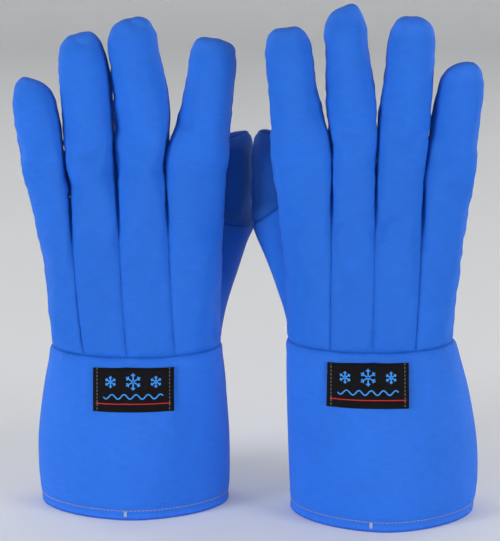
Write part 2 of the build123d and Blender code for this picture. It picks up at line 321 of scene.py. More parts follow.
def press_line(glove, number):
    """Where two neighbouring fingers press together: the crotch's place and a slope."""
    start = np.array(CROTCHES[glove.name][number]) * MM
    pair = FINGERS[number], FINGERS[number + 1]
    end = np.mean([finger_edge(glove, f, sign, 55 * MM) for f, sign in zip(pair, (-1, 1))], axis=0)
    return start, (end[0] - start[0]) / (end[1] - start[1])


def strip_grid(glove, strip, facing):
    """A strip's rows over the hand, then its rows up the finger. The root row is in both."""
    finger = FINGERS[strip]
    hand = [hand_row(glove, strip, r / HAND_ROWS, facing) for r in range(HAND_ROWS + 1)]
    root_a, root_f, root_h = hand[-1]
    extra, slant, squareness = FINGER_SHAPES[glove.name][finger][2:]
    hinge, up = glove.roots[finger], glove.ups[finger]
    length = glove.lengths[finger] + extra * MM
    reach = TIP_REACH * MM
    s_root = (root_a - hinge[0]) * up[0] + (root_h - hinge[2]) * up[1]
    across = column_shares(strip)[1]
    q = 1 - 2 * across
    own = up[0] / up[1]
    lines = [press_line(glove, n)[1] if 0 <= n <= 2 else own for n in (strip - 1, strip)]
    root_slope = mix(lines[0], lines[1], across)
    tube = [hand[-1]]
    for r in range(1, FINGER_ROWS + 1):
        s = mix(s_root, length, 1 - (1 - r / FINGER_ROWS) ** TIP_EASE)
        rise = s - s_root
        width, shift = finger_width(glove, finger, s)
        width = width + ROOT_PRESS * MM * smoothstep(rise / (4 * MM)) * smoothstep(2 - rise / (14 * MM))
        cap = np.clip((s - (length - reach)) / reach, 0, 1)
        width = width * mix(TIP_FLAT, 1.0, (1 - cap**squareness) ** (1 / squareness))
        depth = FINGER_HALF_DEPTH[finger] * MM * (1 - cap**CAP_OVAL) ** 0.5
        aside = shift + q * width
        raised = s + slant * MM / 2 * q * smoothstep((s - length) / (30 * MM) + 1)
        w = smoothstep(rise / (ROOT_BLEND * MM))
        early = smoothstep(rise / (ROOT_WIDENING * MM))
        a = mix(root_a + root_slope * rise, hinge[0] + up[0] * raised + up[1] * aside, early)
        h = mix(root_h + up[1] * rise, hinge[2] + up[1] * raised - up[0] * aside, early)
        f = mix(root_f, facing * depth * (1 - np.abs(q) ** FINGER_OVAL) ** (1 / FINGER_OVAL), w)
        tube.append((a, f, h))
    return hand, tube


def cuff_grid(glove, top):
    """The cuff's rings, from the wrist seam down to the hem. top is the seam's ring (a, f)."""
    edges = np.array(WRIST_EDGES[glove.name]) * MM
    wrist_centre, wrist_half = edges.mean(), (edges[0] - edges[1]) / 2
    angle = np.arctan2(top[1] / HAND_HALF_DEPTHS[0] / MM, (top[0] - wrist_centre) / wrist_half)
    rows = []
    height = glove.wrist.z - HEM_ROLL * MM
    for r in range(CUFF_ROWS + 1):
        drop = r / CUFF_ROWS
        share = 1 - drop
        centre = through(share, glove.hem_centre, glove.belly_centre, wrist_centre)
        half_a = through(share, glove.hem_half[0], glove.belly_half[0], wrist_half)
        half_f = through(share, glove.hem_half[1], glove.belly_half[1], HAND_HALF_DEPTHS[0] * MM)
        power = mix(2.0, HEM_OVAL, smoothstep(drop / 0.9))
        round_a, round_f = np.cos(angle), np.sin(angle)
        reach = (np.abs(round_a) ** power + np.abs(round_f) ** power) ** (1 / power)
        oval_a, oval_f = centre + half_a * round_a / reach, half_f * round_f / reach
        w = smoothstep(drop / 0.35)
        stretch_a, stretch_f = half_a / wrist_half, half_f / (HAND_HALF_DEPTHS[0] * MM)
        a = mix(centre + (top[0] - wrist_centre) * stretch_a, oval_a, w)
        f = mix(top[1] * stretch_f, oval_f, w)
        rows.append((a, f, -drop * height - glove.seam_sag(top[0]) * (1 - drop) ** 3))
    return rows


def thumb_grid(glove):
    """Rings of the gusset and the thumb, from inside the hand up to the thumb's tip."""
    angle = np.arange(THUMB_COLUMNS + 1) * 2 * math.pi / THUMB_COLUMNS
    root, length = glove.roots["thumb"], glove.lengths["thumb"]
    foot = np.array(GUSSET_FOOT) * MM
    raised, slanted = (v * MM for v in THUMB_SEAM[glove.name])
    seam = raised - slanted * np.cos(angle + THUMB_TWIST)

    def ring(centre, across, deep, twist, lift):
        x, y = across * np.cos(angle), deep * np.sin(angle)
        turned = x * math.cos(twist) - y * math.sin(twist), x * math.sin(twist) + y * math.cos(twist)
        return centre[0] + turned[0], centre[1] + turned[1], centre[2] + lift

    gusset = []
    for r in range(GUSSET_ROWS + 1):
        t = r / GUSSET_ROWS
        centre = mix(foot, root, t)
        centre[0] = mix(foot[0], root[0], t**1.18)
        centre[1] += GUSSET_TOP[1] * MM * t
        across = mix(GUSSET_FOOT_RADII[0], THUMB_RADII[0], t**0.8) * MM
        deep = mix(GUSSET_FOOT_RADII[1], GUSSET_TOP[0], t**0.8) * MM
        gusset.append(ring(centre, across, deep, THUMB_TWIST * t, seam * t**2))
    thumb = [gusset[-1]]
    reach = THUMB_TIP_REACH * MM
    for r in range(1, THUMB_ROWS + 1):
        share = 1 - (1 - r / THUMB_ROWS) ** TIP_EASE
        s = length * share
        cap = np.clip((s - (length - reach)) / reach, 0, 1)
        end = (1 - cap**THUMB_SQUARENESS) ** (1 / THUMB_SQUARENESS)
        swell = 1 + 0.04 * math.sin(math.pi * share)
        across = THUMB_RADII[0] * MM * swell * mix(THUMB_TIP_FLAT, 1, end)
        rise = smoothstep(s / (14 * MM))
        deep = mix(GUSSET_TOP[0], THUMB_RADII[1], rise) * MM * swell * (1 - cap**CAP_OVAL) ** 0.5
        back = mix(GUSSET_TOP[1] * MM, THUMB_LEAN * s, rise)
        nod = THUMB_NOD * smoothstep(cap)
        lowered = cap * reach * (1 - math.cos(nod))
        centre = (root[0], root[1] + back - cap * reach * math.sin(nod), root[2] + s - lowered)
        lift = seam * (1 - share) ** 2 + deep * math.sin(nod) * np.sin(angle)
        lift = lift + THUMB_SLANT * across * np.cos(angle) * smoothstep(cap)
        thumb.append(ring(centre, across, deep * math.cos(nod), THUMB_TWIST, lift))
    return gusset, thumb


# ---- Cloth: grids welded into one mesh ----


def cloth_lengths(grid):
    """Metres of cloth across and along a grid of points, for its UV."""
    steps = (np.linalg.norm(np.diff(grid, axis=1 - k), axis=2).mean(k) for k in (0, 1))
    return [np.concatenate(([0], np.cumsum(step))) for step in steps]


def add_object(name, data):
    """A new object in the scene."""
    made = bpy.data.objects.new(name, data)
    bpy.context.scene.collection.objects.link(made)
    return made


class Cloth:
    """Panels welded into one mesh. A face's material number is its panel's place in names."""

    def __init__(self, glove):
        self.glove = glove
        self.bm = bmesh.new()
        self.uv = self.bm.loops.layers.uv.new("UVMap")
        self.names = []

    def add(self, name, rows):
        """Adds a grid of rows (a, f, h). Its UV runs in metres of cloth across and along."""
        if name not in self.names:
            self.names.append(name)
        grid = np.array([self.glove.world(*row) for row in rows])
        u, v = cloth_lengths(grid)
        verts = [[self.bm.verts.new(p) for p in row] for row in grid]
        for r in range(len(rows) - 1):
            for c in range(grid.shape[1] - 1):
                corners = ((r, c), (r, c + 1), (r + 1, c + 1), (r + 1, c))
                face = self.bm.faces.new([verts[i][j] for i, j in corners])
                face.material_index = self.names.index(name)
                face.smooth = True
                for loop, (i, j) in zip(face.loops, corners):
                    loop[self.uv].uv = (u[j], v[i])

    def weld(self):
        """Joins the panels, with the outside of the cloth outwards."""
        bmesh.ops.remove_doubles(self.bm, verts=self.bm.verts, dist=0.02 * MM)
        bmesh.ops.recalc_face_normals(self.bm, faces=self.bm.faces)
        rim = [v.co for v in self.bm.verts if v.is_boundary]
        centre = sum(rim, Vector()) / len(rim)
        faces = self.bm.faces
        if sum((f.calc_center_median() - centre).dot(f.normal) * f.calc_area() for f in faces) < 0:
            bmesh.ops.reverse_faces(self.bm, faces=faces)

    def to_object(self, name):
        mesh = bpy.data.meshes.new(name)
        self.bm.to_mesh(mesh)
        self.bm.free()
        for _ in self.names:
            mesh.materials.append(None)
        return add_object(name, mesh)


def read_vectors(items, field):
    values = np.empty(len(items) * 3, np.float32)
    items.foreach_get(field, values)
    return values.reshape(-1, 3).astype(float)


def unit(vectors):
    return vectors / np.linalg.norm(vectors, axis=1, keepdims=True)


def coordinates(mesh):
    return read_vectors(mesh.vertices, "co")


def vertex_normals(mesh):
    return read_vectors(mesh.vertex_normals, "vector")


def set_coordinates(mesh, co):
    """Moves a mesh's vertices to new places."""
    mesh.vertices.foreach_set("co", co.astype(np.float32).ravel())
    mesh.update()


def displace(mesh, shift):
    """Moves each vertex along its normal."""
    set_coordinates(mesh, coordinates(mesh) + vertex_normals(mesh) * shift[:, None])


def seam_vertices(mesh, counts=lambda panels: True):
    """Numbers of the vertices where two or more panels meet, if the meeting counts."""
    panels = [set() for _ in mesh.vertices]
    for face in mesh.polygons:
        for v in face.vertices:
            panels[v].add(face.material_index)
    return [i for i, p in enumerate(panels) if len(p) > 1 and counts(p)]


def paint_group(obj, name, weights):
    """A vertex group with a weight for each vertex, in steps of a hundredth."""
    group = obj.vertex_groups.new(name=name)
    weights = np.round(weights, 2)
    for level in sorted(set(weights)):
        if level > 0:
            chosen = [int(i) for i in np.flatnonzero(weights == level)]
            group.add(chosen, float(level), "REPLACE")


def inflate(obj, pinned, seams, hold):
    """Short cloth simulation under light pressure. The seams are gathered, so the cloth puckers."""
    rest = coordinates(obj.data)
    gathered = np.zeros(len(rest))
    gathered[seams] = 1.0
    pinned[seams] = np.maximum(pinned[seams], hold)
    paint_group(obj, "pin", pinned)
    paint_group(obj, "gather", gathered)
    modifier = obj.modifiers.new("Cloth", "CLOTH")
    for setting, value in SIM_SETTINGS.items():
        setattr(modifier.settings, setting, value)
    modifier.settings.effector_weights.gravity = 0
    modifier.point_cache.frame_start = 1
    modifier.point_cache.frame_end = SIM_FRAMES
    scene = bpy.context.scene
    for number in range(1, SIM_FRAMES + 1):
        scene.frame_set(number)
    shown = obj.evaluated_get(bpy.context.evaluated_depsgraph_get()).to_mesh()
    moved = coordinates(shown) - rest
    obj.modifiers.remove(modifier)
    obj.vertex_groups.clear()
    scene.frame_set(1)
    size = np.linalg.norm(moved, axis=1, keepdims=True)
    moved *= np.minimum(1.0, SIM_CAP / np.maximum(size, 1e-9))
    set_coordinates(obj.data, rest + moved)


def smoothed(obj):
    """Subdivides the cloth once, and returns its first mesh drawn onto the smooth one."""
    coarse = obj.data
    modifier = obj.modifiers.new("Subdivision", "SUBSURF")
    modifier.levels = modifier.render_levels = 1
    modifier.boundary_smooth = "PRESERVE_CORNERS"
    evaluated = obj.evaluated_get(bpy.context.evaluated_depsgraph_get())
    obj.data = bpy.data.meshes.new_from_object(evaluated)
    obj.modifiers.clear()
    set_coordinates(coarse, coordinates(obj.data)[: len(coarse.vertices)])
    return coarse


# ---- Pieces cut from a cloth ----


THREAD_SIDES = 6
THREAD_TAPER = 0.55  # a thread's radius at its ends, as a share of its radius
THREAD_SINK = 0.8  # how far its ends sink, in radii
FRONT = -300 * MM  # a depth in front of both gloves
STITCH_STEPS = 6  # points along a row of stitches, from one stitch to the next


def cut_layer(name, mesh, normals, chosen, top=0.0, bottom=SHELL_THICKNESS, keep_normals=(),
              places=None):
    """Cuts chosen panels out of a cloth as a closed sheet between two depths, in mm."""
    faces = [p for p in mesh.polygons if p.material_index in chosen]
    used = sorted({v for p in faces for v in p.vertices})
    place = {v: i for i, v in enumerate(used)}
    co = (coordinates(mesh) if places is None else places)[used]
    out = normals[used]
    count = len(used)
    verts = np.concatenate((co - out * top * MM, co - out * bottom * MM))
    polygons, uvs = [], []
    uv = mesh.uv_layers[0].data
    edges = {}
    for p in faces:
        ring = [place[v] for v in p.vertices]
        ring_uv = [tuple(uv[i].uv) for i in p.loop_indices]
        polygons.append(ring)
        uvs += ring_uv
        polygons.append([i + count for i in reversed(ring)])
        uvs += list(reversed(ring_uv))
        for k in range(len(ring)):
            a, b = ring[k], ring[(k + 1) % len(ring)]
            if (b, a) in edges:
                del edges[(b, a)]
            else:
                edges[(a, b)] = (ring_uv[k], ring_uv[(k + 1) % len(ring)])
    for (a, b), (uv_a, uv_b) in edges.items():
        polygons.append([b, a, a + count, b + count])
        uvs += [uv_b, uv_a, uv_a, uv_b]
    piece = make_piece(name, verts, polygons, uvs)
    if keep_normals:
        own = vertex_normals(piece.data)
        for v in keep_normals:
            if v in place:
                own[place[v]] = normals[v]
        piece.data.normals_split_custom_set_from_vertices([tuple(n) for n in own])
    return piece


def make_piece(name, verts, polygons, uvs=None):
    mesh = bpy.data.meshes.new(name)
    mesh.from_pydata([tuple(v) for v in verts], [], polygons)
    if uvs:
        layer = mesh.uv_layers.new(name="UVMap")
        layer.data.foreach_set("uv", np.array(uvs, np.float32).ravel())
    mesh.polygons.foreach_set("use_smooth", [True] * len(mesh.polygons))
    mesh.update()
    return add_object(name, mesh)


def thread(verts, polygons, points, normals, radius, flat):
    """Adds a closed tube along points to a growing mesh. Its ends sink into the cloth."""
    points, normals = np.asarray(points, float), np.asarray(normals, float)
    sideways = unit(np.cross(unit(np.gradient(points, axis=0)), normals))
    start, last, sides = len(verts), len(points) - 1, THREAD_SIDES
    for i, (p, n, w) in enumerate(zip(points, normals, sideways)):
        end = i in (0, last)
        r = radius * (THREAD_TAPER if end else 1.0)
        base = p - n * (THREAD_SINK * radius if end else 0.0)
        for angle in np.arange(sides) * 2 * math.pi / sides:
            verts.append(base + w * r * math.cos(angle) + n * r * flat * math.sin(angle))
    for i in range(last):
        for k in range(sides):
            j, m = (k + 1) % sides, start + i * sides
            polygons.append([m + k, m + j, m + sides + j, m + sides + k])
    polygons.append([start + k for k in reversed(range(sides))])
    polygons.append([start + last * sides + k for k in range(sides)])


def strokes(name, lines, radius, flat=1.0):
    """One piece made of separate threads. A line is a list of places with their normals."""
    verts, polygons = [], []
    for line in lines:
        thread(verts, polygons, [p for p, _ in line], [n for _, n in line], radius, flat)
    return make_piece(name, verts, polygons)


def resample(points, pitch):
    """Evenly spaced places along a line of points."""
    points = np.asarray(points, float)
    lengths = np.concatenate(([0], np.cumsum(np.linalg.norm(np.diff(points, axis=0), axis=1))))
    places = np.arange(0, lengths[-1] + 1e-9, pitch)
    return np.stack([np.interp(places, lengths, points[:, i]) for i in range(3)], axis=1)


def stitch_row(name, line, tree, pitch, length, radius, lift=0.1 * MM):
    """A row of separate stitches along a line on the cloth."""
    step = pitch / STITCH_STEPS
    fine = resample(line, step)
    normals = [np.array(tree.find_nearest(Vector(p))[1]) for p in fine]
    places = [(p + n * lift, n) for p, n in zip(fine, normals)]
    span = max(2, int(round(length / step)))
    starts = range(0, len(places) - span, STITCH_STEPS)
    return strokes(name, [places[start : start + span + 1] for start in starts], radius)


def tree_of(mesh):
    return BVHTree.FromPolygons([v.co for v in mesh.vertices], [tuple(p.vertices) for p in mesh.polygons])


def from_front(x, z, *trees):
    """Where a look from the front first meets one of the cloths, and that cloth's normal there."""
    for tree in trees:
        spot, normal = tree.ray_cast(Vector((x, FRONT, z)), Vector((0, 1, 0)))[:2]
        if spot is not None:
            return spot, normal


# ---- Fine cloth detail ----

GROOVE_DEPTH = 1.1 * MM
GROOVE_WIDTH = 1.7 * MM
LINING_SINK = 1.6 * MM
LINING_REACH = 4 * MM
CROTCH_SINK = 13 * MM
CROTCH_REACH = 14 * MM
PRESSED_REACH = 22 * MM  # from a crotch, how far up the groove stays shallow
FOLD_FADE = 10 * MM  # from a seam, how far folds take to rise
LAYER_COVER = 0.6 * MM
# Pull lines on the back: from (a, h) to (a, h), half width and height in mm; below 0 is a valley
CREASES = {
    "left": (
        ((2, 2), (17, 11), 1.1, -0.55),
        ((4, 8), (13, 15), 1.6, 0.40),
        ((21, 3), (31, 14), 1.2, -0.50),
        ((36, 4), (52, 13), 1.3, -0.60),
        ((33, 41), (54, 32), 1.5, -0.50),
        ((38, 29), (60, 22), 1.4, -0.55),
        ((44, 69), (66, 66), 1.3, -0.55),
        ((46, 58), (64, 52), 1.8, 0.45),
        ((-30, 4), (-20, 11), 1.4, -0.40),
        ((-44, 228), (-32, 221), 1.5, -0.6),
        ((-8, 243), (10, 234), 1.7, -0.9),
        ((-10, 238), (4, 228), 2.2, 0.5),
        ((-84, 187), (-78, 178), 1.8, -0.9),
        ((14, 130), (20, 138), 1.4, -0.6),
        ((-18, 146), (-10, 141), 1.6, -0.7),
    ),
    "right": (
        ((50, 101), (33, 123), 1.8, 0.65),
        ((54, 98), (37, 119), 1.8, -0.50),
        ((70, 99), (57, 95), 1.2, -0.65),
        ((70, 94), (58, 91), 1.2, -0.55),
        ((68, 88), (50, 90), 1.6, 0.40),
        ((33, 140), (27, 146), 1.5, -0.8),
        ((26, 148), (12, 143), 2.2, -0.6),
        ((-40, 3), (-52, 14), 1.3, -0.50),
        ((-24, 3), (-14, 10), 1.3, -0.40),
        ((12, 4), (24, 12), 1.4, -0.45),
        ((-58, 8), (-63, 22), 1.4, -0.60),
        ((18, 226), (2, 221), 1.8, -0.6),
        ((54, 212), (42, 208), 1.8, -0.5),
        ((-28, 148), (-36, 152), 1.6, -0.7),
    ),
}
CREASE_GAIN = 1.3
PUCKER_DEPTH = 0.95 * MM
PUCKER_REACH = 7.0 * MM
PUCKER_PITCH = 6.0 * MM
BROAD_FOLD = 2.0 * MM
BROAD_FOLD_SIZE = 52 * MM
SMALL_FOLD = 0.7 * MM
SMALL_FOLD_SIZE = 17 * MM


def fold_height(point, seed):
    """Soft folds: noise that is stretched upwards, as cloth on a standing glove hangs."""
    p = Vector((point[0], point[1], point[2] * 0.55)) + Vector((seed, 0, 0))
    return BROAD_FOLD * noise.noise(p / BROAD_FOLD_SIZE) + SMALL_FOLD * noise.noise(p / SMALL_FOLD_SIZE)


def to_seams(co, seams):
    """For each point, the nearest point on a seam and the distance to it."""
    tree = KDTree(len(seams))
    for i, point in enumerate(co[seams]):
        tree.insert(point, i)
    tree.balance()
    found = [tree.find(point) for point in co]
    return [near for near, _, _ in found], np.array([distance for _, _, distance in found])


def calm_near_hem(co):
    """How strong the cloth's relief is at each point: less towards the stiff hem."""
    return 0.25 + 0.75 * smoothstep((co[:, 2] - 2 * MM) / (22 * MM))


def add_folds(mesh, seams, seed):
    """Soft folds that fade out towards the seams."""
    co = coordinates(mesh)
    fade = np.minimum(1.0, to_seams(co, seams)[1] / FOLD_FADE)
    displace(mesh, fade * np.array([fold_height(p, seed) for p in co]) * calm_near_hem(co))


def add_seams(mesh, seams, seed, pressed=()):
    """Sinks a groove along each seam and puckers the cloth beside it, but not at pressed places."""
    co = coordinates(mesh)
    nearest, distance = to_seams(co, seams)
    groove = GROOVE_DEPTH * np.exp(-((distance / GROOVE_WIDTH) ** 2))
    for place in pressed:
        groove *= smoothstep(np.linalg.norm(co - place, axis=1) / PRESSED_REACH - 0.3)
    beside = np.exp(-distance / PUCKER_REACH) * np.minimum(1.0, distance / GROOVE_WIDTH)
    ripple = np.array([noise.noise(near / PUCKER_PITCH + Vector((0, seed, 0))) for near in nearest])
    displace(mesh, (PUCKER_DEPTH * beside * ripple - groove) * calm_near_hem(co))


def add_creases(glove, mesh):
    """Pull lines on the back, each a shallow valley or ridge from one place to another."""
    local = np.array([glove.local(p) for p in coordinates(mesh)])[:, [0, 2]] / MM
    shift = np.zeros(len(local))
    for (a0, h0), (a1, h1), width, depth in CREASES[glove.name]:
        start, along = np.array((a0, h0)), np.array((a1 - a0, h1 - h0))
        share = np.clip((local - start) @ along / (along @ along), 0, 1)
        distance = np.linalg.norm(local - start - share[:, None] * along, axis=1)
        profile = np.exp(-((distance / width) ** 2)) * (0.25 + 0.75 * np.sin(math.pi * share))
        shift += CREASE_GAIN * depth * MM * profile
    displace(mesh, shift * smoothstep(-vertex_normals(mesh)[:, 1] / 0.5))


def sunk_for_lining(mesh, seams, crotches=()):
    """A copy of the cloth's points, drawn in along the seams and down below the crotches."""
    co = coordinates(mesh)
    sink = np.exp(-((to_seams(co, seams)[1] / LINING_REACH) ** 2))
    sunk = co - vertex_normals(mesh) * (LINING_SINK * sink)[:, None]
    for place in crotches:
        distance = np.linalg.norm(co - place, axis=1)
        sunk[:, 2] -= CROTCH_SINK * np.exp(-((distance / CROTCH_REACH) ** 2))
    return sunk


def keep_inside(piece, tree, top, bottom):
    """Moves points of a layer that come too near the shell's outer surface back inside it."""
    co = coordinates(piece.data)
    half = len(co) // 2
    for i, point in enumerate(co):
        if point[2] < 3 * FACING_HEIGHT * MM:
            continue
        depth = LAYER_COVER + 0.5 * MM * (top if i < half else bottom)
        near, normal, _, distance = tree.find_nearest(Vector(point))
        gap = Vector(point) - near
        if gap.dot(normal) > -1e-6:
            co[i] = near - normal * depth
        elif distance < depth:
            co[i] = near + gap * (depth / distance)
    set_coordinates(piece.data, co)


# ---- Materials ----


class Value:
    """A node's output. Arithmetic on it adds the nodes that compute the result."""

    def __init__(self, shader, socket):
        self.shader, self.socket = shader, socket

    def __add__(self, other):
        return self.shader.math("ADD", self, other)

    def __sub__(self, other):
        return self.shader.math("SUBTRACT", self, other)

    def __rsub__(self, other):
        return self.shader.math("SUBTRACT", other, self)

    def __mul__(self, other):
        return self.shader.math("MULTIPLY", self, other)

    def __truediv__(self, other):
        return self.shader.math("DIVIDE", self, other)


class Shader:
    """A small helper to write a material's nodes as expressions."""

    def __init__(self, name):
        self.material = bpy.data.materials.new(name)
        self.material.use_nodes = True
        self.tree = self.material.node_tree
        self.tree.nodes.clear()
        self.output = self.node("ShaderNodeOutputMaterial")
        self.place = self.node("ShaderNodeTexCoord")
        self.spot = Value(self, self.place.outputs["Object"])

    def node(self, kind, **inputs):
        made = self.tree.nodes.new(kind)
        for key, value in inputs.items():
            self.put(made.inputs[key.replace("_", " ")], value)
        return made

    def put(self, socket, value):
        if isinstance(value, Value):
            self.tree.links.new(value.socket, socket)
        else:
            socket.default_value = value

    def uv(self):
        split = self.node("ShaderNodeSeparateXYZ", Vector=Value(self, self.place.outputs["UV"]))
        return Value(self, split.outputs["X"]), Value(self, split.outputs["Y"])

    def math(self, operation, *values):
        made = self.tree.nodes.new("ShaderNodeMath")
        made.operation = operation
        for socket, value in zip(made.inputs, values):
            self.put(socket, value)
        return Value(self, made.outputs[0])

    def ridges(self, place):
        """A row of rounded ridges, one to each unit of place."""
        return self.math("ABSOLUTE", self.math("SINE", place * math.pi))

    def mix(self, factor, a, b):
        made = self.tree.nodes.new("ShaderNodeMix")
        made.data_type = "RGBA"
        for key, value in (("Factor", factor), ("A", a), ("B", b)):
            self.put(made.inputs[key], value)
        return Value(self, made.outputs["Result"])

    def noise(self, size, detail=3.0, distortion=0.0, spot=None):
        made = self.node("ShaderNodeTexNoise", Vector=spot or self.spot, Scale=1 / size, Detail=detail,
                         Distortion=distortion)
        return Value(self, made.outputs["Fac"])

    def bump(self, height, strength, distance, normal=None):
        made = self.node("ShaderNodeBump", Height=height, Strength=strength, Distance=distance)
        if normal is not None:
            self.put(made.inputs["Normal"], normal)
        return Value(self, made.outputs["Normal"])

    def attribute(self, name):
        made = self.node("ShaderNodeAttribute")
        made.attribute_name = name
        return Value(self, made.outputs["Fac"])

    def finish(self, color, roughness, normal, sheen=0.0, sheen_color=(1, 1, 1, 1), specular=0.3):
        made = self.node("ShaderNodeBsdfPrincipled", Base_Color=color, Roughness=roughness, Normal=normal,
                         Sheen_Weight=sheen, Sheen_Roughness=0.45, Sheen_Tint=sheen_color,
                         Specular_IOR_Level=specular)
        self.tree.links.new(made.outputs[0], self.output.inputs["Surface"])
        return self.material


def shade(color, factor):
    return tuple(min(1.0, c * factor) for c in color[:3]) + (1.0,)


def weave_height(shader, u, v, pitch):
    """Plain weave: at each crossing one thread runs over the other, by turns."""
    across, along = u / pitch, v / pitch
    cells = shader.math("FLOOR", across) + shader.math("FLOOR", along)
    over = shader.math("PINGPONG", cells, 1.0)
    warp, weft = shader.ridges(across), shader.ridges(along)
    low = warp * shader.math("POWER", weft, 0.4)
    high = weft * shader.math("POWER", warp, 0.4)
    return low * over + high * (1.0 - over)


def woven(name, color, pitch, roughness=0.58, sheen=0.12, specular=0.2, weave=1.0, mottle=0.2, worn=1.35):
    """Woven cloth: threads at their real pitch, painted shade where the threads dip, uneven dye, soft
    crumples and worn edges.
    """
    shader = Shader(name)
    u, v = shader.uv()
    height = weave_height(shader, u, v, pitch)
    stretched = shader.node("ShaderNodeCombineXYZ", X=u * 0.09, Y=v)
    streaks = shader.noise(1.0 * MM, 2.0, spot=Value(shader, stretched.outputs[0]))
    broad, fine, slub = shader.noise(45 * MM), shader.noise(5 * MM), shader.noise(0.9 * MM, 1.0)
    tone = broad * 0.5 + fine * 0.35 + streaks * 0.9 - 0.375
    dyed = shader.mix(tone, shade(color, 1 - mottle), shade(color, 1 + mottle))
    # Painted shade: the colour darkens where the weave's threads dip.
    threads = shader.mix(height, shade(color, 0.72), dyed)
    wear = shader.attribute("wear") * (fine + 0.35)
    faded = tuple(min(1.0, c * worn + 0.03) for c in color[:3]) + (1.0,)
    final = shader.mix(wear * 0.8, shader.mix(0.45, dyed, threads), faded)
    rough = (slub - 0.5) * 0.18 + roughness
    crumple = shader.bump(shader.noise(14 * MM, 4.0), 0.35, 1.2 * MM)
    relief = height + slub * 0.5 + streaks * 0.8
    normal = shader.bump(relief, weave, 0.12 * MM, crumple)
    return shader.finish(final, rough, normal, sheen, shade(color, 2.2), specular)


def knitted(name, color, pitch):
    """Brushed knit: rows of loops under a fuzzy nap, with painted shade where the loops and the nap lie
    low.
    """
    shader = Shader(name)
    u, v = shader.uv()
    across = u / pitch
    along = v / pitch + shader.math("PINGPONG", across, 0.5) * 1.2
    height = shader.ridges(across) * shader.ridges(along) + shader.noise(0.8 * MM, 4.0) * 0.9
    # Painted shade: darker where the loops and the nap lie low.
    tint = shader.mix(height, shade(color, 0.78), shade(color, 1.04))
    normal = shader.bump(height, 0.7, 0.35 * MM)
    return shader.finish(tint, 0.92, normal, 0.6, shade(color, 1.1), 0.1)


def padded(name, color):
    """Non-woven wadding: a tangle of fine fibres."""
    shader = Shader(name)
    height = shader.noise(1.1 * MM, 8.0, 2.5) + shader.noise(9 * MM)
    tint = shader.mix(height, shade(color, 0.82), shade(color, 1.05))
    return shader.finish(tint, 0.95, shader.bump(height, 0.8, 0.5 * MM), 0.5, shade(color, 1.1), 0.1)


def twisted(name, color, roughness=0.5):
    """Sewing thread: fine plies that catch the light unevenly."""
    shader = Shader(name)
    wave = shader.node("ShaderNodeTexWave", Vector=shader.spot, Scale=1 / (0.9 * MM), Distortion=1.5)
    wave.bands_direction = "DIAGONAL"
    plies = Value(shader, wave.outputs["Fac"])
    tint = shader.mix(shader.noise(7 * MM), shade(color, 0.8), shade(color, 1.2))
    tint = shader.mix(plies * 0.4, tint, shade(color, 0.6))
    normal = shader.bump(plies, 0.5, 0.08 * MM)
    return shader.finish(tint, roughness, normal, 0.2, shade(color, 1.5), 0.35)


NYLON_PITCH = 0.45 * MM  # from one thread of the shell's cloth to the next
MATERIALS = {
    "shell_fabric": woven("shell_nylon", (0.016, 0.148, 0.700), NYLON_PITCH),
    # Painted shade: this is the cuff's nylon, a little darker on the hand, the fingers and the gusset, for
    # the lesser light that falls on them.
    "hand_fabric": woven("hand_nylon", (0.011, 0.131, 0.630), NYLON_PITCH),
    # Painted shade: the thumb's nylon is a darker copy of the same cloth. It stands for the shade that the
    # thumb sits in, between the index fingers.
    "thumb_fabric": woven("thumb_nylon", (0.008, 0.098, 0.460), NYLON_PITCH),
    "facing_fabric": woven("facing_nylon", (0.015, 0.11, 0.60), NYLON_PITCH),
    "quilted_insulation": padded("insulation_wadding", (0.82, 0.84, 0.86)),
    "knitted_liner": knitted("liner_knit", (0.70, 0.76, 0.86), 1.6 * MM),
    "woven_label": woven("label_satin", (0.005, 0.0045, 0.006), 0.35 * MM, roughness=0.75, sheen=0.0,
                         specular=0.08, weave=0.7, worn=1.6),
    "label_motif": twisted("label_blue_thread", (0.035, 0.28, 0.80)),
    "label_stripe": twisted("label_red_thread", (0.50, 0.012, 0.018)),
    "label_thread": twisted("label_edge_thread", (0.13, 0.13, 0.135)),
    "hem_thread": twisted("hem_grey_thread", (0.30, 0.245, 0.235)),
    "tack_thread": twisted("tack_pale_thread", (0.35, 0.42, 0.55)),
    "seam_thread": twisted("seam_blue_thread", (0.010, 0.055, 0.30)),
    # Painted highlight: this pale thread, paler than the thumb, stands for the highlight along the thumb's
    # seam.
    "thumb_thread": twisted("thumb_grey_thread", (0.16, 0.24, 0.42)),
}


def wear_marks(piece, start, reach, most=1.0):
    """Stores how worn each vertex is: not at all at the height start, and the most beyond start + reach."""
    layer = piece.data.attributes.new("wear", "FLOAT", "POINT")
    values = most * smoothstep((coordinates(piece.data)[:, 2] - start) / reach)
    layer.data.foreach_set("value", values.astype(np.float32))


def move_with(piece, glove, part, rigid):
    """A cuff's and a digit's pieces have their place baked into their mesh, and all others ride on one
    body.
    """
    if rigid or part in ("hand", "gauntlet"):
        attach(piece, f"{glove.name}_{part}")
    elif part == "cuff":
        start, end = (glove.wrist + Vector((0, 0, z)) for z in WRIST_BEND)
        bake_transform(piece)
    else:
        root, (aside, upwards) = Vector(glove.world(*glove.roots[part])), glove.ups[part]
        up = Vector((glove.side * aside, 0.0, upwards))
        start, end = (root + up * reach for reach in (THUMB_BEND if part == "thumb" else KNUCKLE_BEND))
        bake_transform(piece)


def complete(piece, glove, part, material, *nodes, rigid=False):
    """Gives a piece its material, sets it on its body or bakes its place, and hides the CAD nodes that it
    stands for.
    """
    piece.data.materials.clear()
    piece.data.materials.append(MATERIALS[material])
    move_with(piece, glove, part, rigid)
    for node in nodes:
        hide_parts(f"{glove.name}_{node}")


# ---- Trims ----

